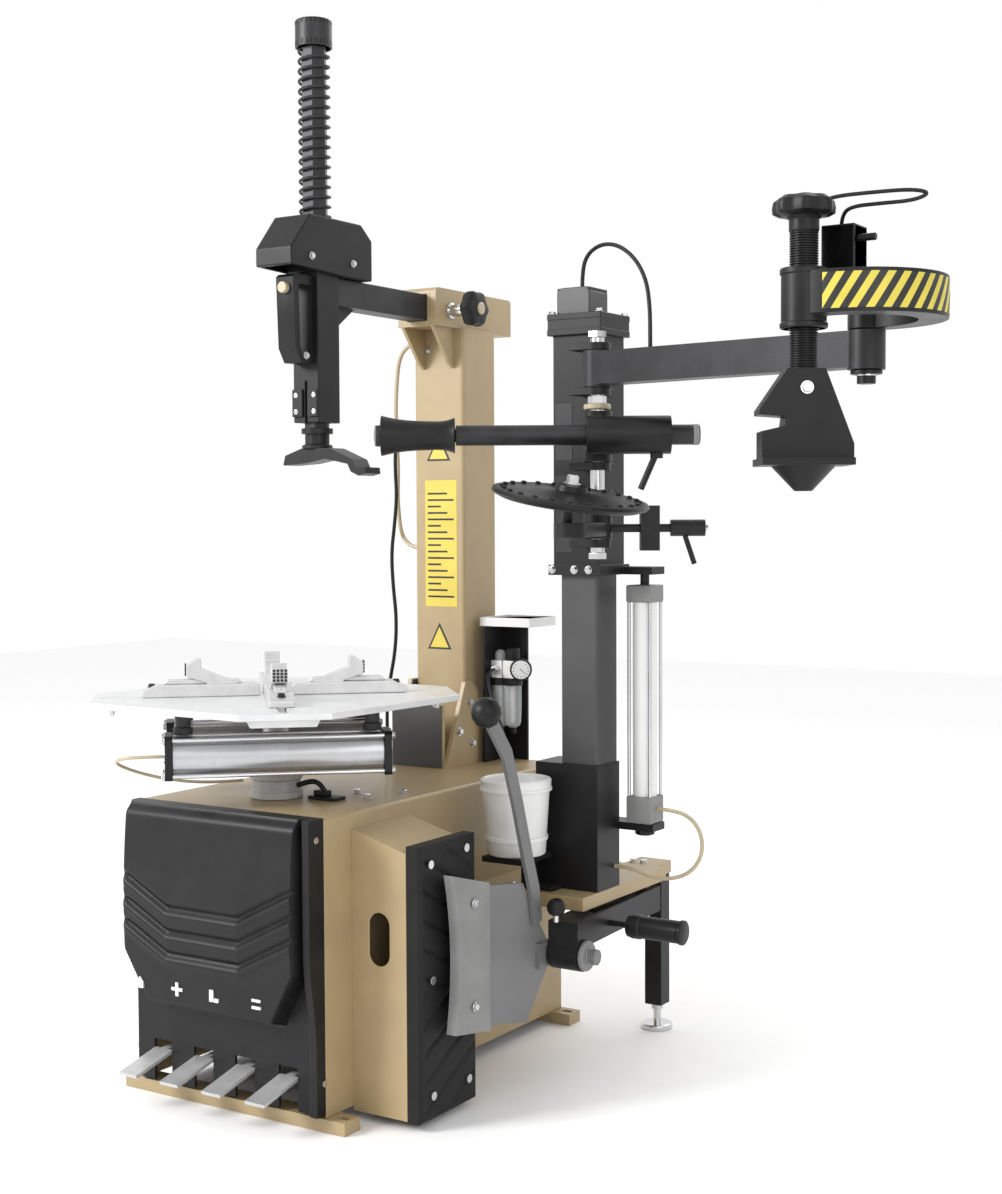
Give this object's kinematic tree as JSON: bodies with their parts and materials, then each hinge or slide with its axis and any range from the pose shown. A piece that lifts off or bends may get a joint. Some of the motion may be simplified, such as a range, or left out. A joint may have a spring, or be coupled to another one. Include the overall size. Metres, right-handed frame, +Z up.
{
  "type": "tire changer machine",
  "caption": "Tilt-column tyre changer with pneumatic turntable jaws, sliding mount head, side bead breaker, foot pedals and a bead-press helper mast.",
  "frame": {"origin": "centre of the floor anchor slots, on the floor", "axes": "+Z up, -Y towards the operator and the pedals, +X towards the bead breaker and helper mast"},
  "size_m": [1.5607, 1.0827, 2.065],
  "materials": {
    "beige_paint": "satin",
    "black_paint": "satin",
    "black_plastic": "textured",
    "grey_plastic": "textured",
    "white_plastic": "moulded",
    "bright_steel": "machined",
    "dark_steel": "oiled",
    "cast_table": "machined",
    "barrel_aluminium": "polished",
    "chrome": "polished",
    "rubber": "matt",
    "hose": "smooth",
    "beige_hose": "smooth",
    "cast_iron": "cast"
  },
  "bodies": {
    "machine": {"floor_rails": "beige_paint", "cabinet_shell": "beige_paint", "front_cover": "black_plastic", "pins_and_screws": "bright_steel", "pad_support": "beige_paint", "breaker_pad": "rubber", "gear_motor": "cast_iron", "hinge_bracket": "beige_paint", "regulator_unit": "black_paint", "tool_tray": "white_plastic", "tub": "white_plastic", "side_frame": "beige_paint", "leg": "black_paint", "levelling_foot": "bright_steel", "helper_base": "black_paint", "mast": "dark_steel", "lift_cylinder": "barrel_aluminium", "cylinder_hose": "beige_hose", "regulator_hose": "hose", "column_cable": "hose"},
    "pedal_1": {"pedal_1": "bright_steel"},
    "pedal_2": {"pedal_2": "bright_steel"},
    "pedal_3": {"pedal_3": "bright_steel"},
    "pedal_4": {"pedal_4": "bright_steel"},
    "turntable": {"spindle": "bright_steel", "table_plate": "cast_table", "chuck_cylinders": "barrel_aluminium", "chuck_hose": "beige_hose"},
    "jaw_1": {"jaw_1": "bright_steel"},
    "jaw_2": {"jaw_2": "bright_steel"},
    "jaw_3": {"jaw_3": "bright_steel"},
    "jaw_4": {"jaw_4": "bright_steel"},
    "column": {"column_post": "beige_paint", "head_box": "beige_paint", "column_hose": "beige_hose"},
    "lock_knob": {"lock_knob": "black_plastic"},
    "mounting_arm": {"arm_tube": "dark_steel", "guide_tube": "black_paint", "head_cover": "black_plastic", "release_handle": "black_plastic"},
    "lock_button": {"lock_button": "white_plastic"},
    "mounting_shaft": {"hex_shaft": "dark_steel", "return_spring": "dark_steel", "mount_head": "black_paint"},
    "tub_lid": {"tub_lid": "white_plastic"},
    "carriage": {"carriage": "black_paint", "arm_pivot_rod": "bright_steel"},
    "swing_beam": {"swing_beam": "dark_steel", "helper_hose": "hose"},
    "press_arm": {"press_arm": "black_paint"},
    "press_screw": {"press_screw": "black_paint"},
    "press_block": {"press_block": "black_plastic"},
    "roller_arm": {"roller_arm": "black_paint"},
    "roller_bar": {"roller_bar": "dark_steel"},
    "bead_roller": {"bead_roller": "grey_plastic"},
    "disc_arm": {"disc_arm": "black_paint"},
    "lifting_disc": {"lifting_disc": "black_plastic"},
    "breaker_arm": {"breaker_arm": "black_paint"},
    "breaker_blade": {"breaker_blade": "bright_steel", "blade_guard": "grey_plastic"}
  },
  "joints": [
    {"name": "pedal_1_press", "type": "hinge", "parent": "machine", "child": "pedal_1", "pos_m": [-0.159, -0.299, 0.08], "axis": [1, 0, 0], "range_deg": [0, 8], "stiffness_Nm_per_rad": 12, "springref_deg": -14.32},
    {"name": "pedal_2_press", "type": "hinge", "parent": "machine", "child": "pedal_2", "pos_m": [-0.057, -0.299, 0.08], "axis": [1, 0, 0], "range_deg": [0, 8], "stiffness_Nm_per_rad": 12, "springref_deg": -14.32},
    {"name": "pedal_3_press", "type": "hinge", "parent": "machine", "child": "pedal_3", "pos_m": [0.045, -0.299, 0.08], "axis": [1, 0, 0], "range_deg": [0, 8], "stiffness_Nm_per_rad": 12, "springref_deg": -14.32},
    {"name": "pedal_4_press", "type": "hinge", "parent": "machine", "child": "pedal_4", "pos_m": [0.147, -0.299, 0.08], "axis": [1, 0, 0], "range_deg": [0, 8], "stiffness_Nm_per_rad": 12, "springref_deg": -14.32},
    {"name": "turntable_spin", "type": "hinge", "parent": "machine", "child": "turntable", "pos_m": [-0.008, -0.268, 0.75], "axis": [0, 0, 1], "continuous": true},
    {"name": "jaw_1_slide", "type": "slide", "parent": "turntable", "child": "jaw_1", "axis": [0.6756, -0.7373, 0], "range_m": [0, 0.085]},
    {"name": "jaw_2_slide", "type": "slide", "parent": "turntable", "child": "jaw_2", "axis": [0.7373, 0.6756, 0], "range_m": [0, 0.085]},
    {"name": "jaw_3_slide", "type": "slide", "parent": "turntable", "child": "jaw_3", "axis": [-0.6756, 0.7373, 0], "range_m": [0, 0.085]},
    {"name": "jaw_4_slide", "type": "slide", "parent": "turntable", "child": "jaw_4", "axis": [-0.7373, -0.6756, 0], "range_m": [0, 0.085]},
    {"name": "column_tilt", "type": "hinge", "parent": "machine", "child": "column", "pos_m": [-0.008, 0.396, 0.605], "axis": [-1, 0, 0], "range_deg": [0, 22]},
    {"name": "lock_knob_turn", "type": "hinge", "parent": "column", "child": "lock_knob", "pos_m": [0.06, 0.262, 1.54], "axis": [1, 0, 0], "range_deg": [-180, 0]},
    {"name": "arm_slide", "type": "slide", "parent": "column", "child": "mounting_arm", "axis": [0, -1, 0], "range_m": [-0.06, 0.2]},
    {"name": "lock_button_press", "type": "slide", "parent": "mounting_arm", "child": "lock_button", "axis": [0, 1, 0], "range_m": [0, 0.005], "stiffness_N_per_m": 800, "springref_m": -0.004},
    {"name": "shaft_drop", "type": "slide", "parent": "mounting_arm", "child": "mounting_shaft", "axis": [0, 0, -1], "range_m": [0, 0.23], "stiffness_N_per_m": 300, "springref_m": -0.75, "deforming": ["return_spring"]},
    {"name": "tub_lid_lift", "type": "slide", "parent": "machine", "child": "tub_lid", "axis": [0, 0, 1], "range_m": [0, 0.06]},
    {"name": "carriage_lift", "type": "slide", "parent": "machine", "child": "carriage", "axis": [0, 0, 1], "range_m": [0, 0.25]},
    {"name": "beam_swing", "type": "hinge", "parent": "carriage", "child": "swing_beam", "pos_m": [0.503, 0.08, 1.38], "axis": [0, 0, 1], "range_deg": [-110, 15]},
    {"name": "press_arm_swing", "type": "hinge", "parent": "swing_beam", "child": "press_arm", "pos_m": [1.06866, 0.00443, 1.4], "axis": [0, 0, 1], "range_deg": [-30, 40]},
    {"name": "press_screw_feed", "type": "slide", "parent": "press_arm", "child": "press_screw", "axis": [0, 0, -1], "range_m": [-0.05, 0.045]},
    {"name": "press_block_turn", "type": "hinge", "parent": "press_screw", "child": "press_block", "pos_m": [1.05632, -0.23923, 1.32], "axis": [0, 0, 1], "continuous": true},
    {"name": "roller_arm_swing", "type": "hinge", "parent": "carriage", "child": "roller_arm", "pos_m": [0.503, 0.08, 1.25], "axis": [0, 0, 1], "range_deg": [-10, 75]},
    {"name": "roller_bar_slide", "type": "slide", "parent": "roller_arm", "child": "roller_bar", "axis": [0.8434, 0.5373, 0], "range_m": [-0.03, 0.18]},
    {"name": "bead_roller_spin", "type": "hinge", "parent": "roller_bar", "child": "bead_roller", "pos_m": [0.383, -0.075, 1.252], "axis": [0.8434, 0.5373, 0], "continuous": true},
    {"name": "disc_arm_swing", "type": "hinge", "parent": "carriage", "child": "disc_arm", "pos_m": [0.503, 0.08, 1.08], "axis": [0, 0, 1], "range_deg": [-55, 30]},
    {"name": "lifting_disc_spin", "type": "hinge", "parent": "disc_arm", "child": "lifting_disc", "pos_m": [0.568, -0.135, 1.132], "axis": [0.1816, -0.0474, 0.9822], "continuous": true},
    {"name": "breaker_arm_swing", "type": "hinge", "parent": "machine", "child": "breaker_arm", "pos_m": [0.455, 0.355, 0.3], "axis": [0, 0, 1], "range_deg": [0, 45]},
    {"name": "breaker_blade_tilt", "type": "hinge", "parent": "breaker_arm", "child": "breaker_blade", "pos_m": [0.47, 0.022, 0.262], "axis": [1, 0, 0], "range_deg": [-8, 8]}
  ],
  "couplings": [
    {"joint": "jaw_2_slide", "follows": "jaw_1_slide", "ratio": 1},
    {"joint": "jaw_3_slide", "follows": "jaw_1_slide", "ratio": 1},
    {"joint": "jaw_4_slide", "follows": "jaw_1_slide", "ratio": 1}
  ]
}
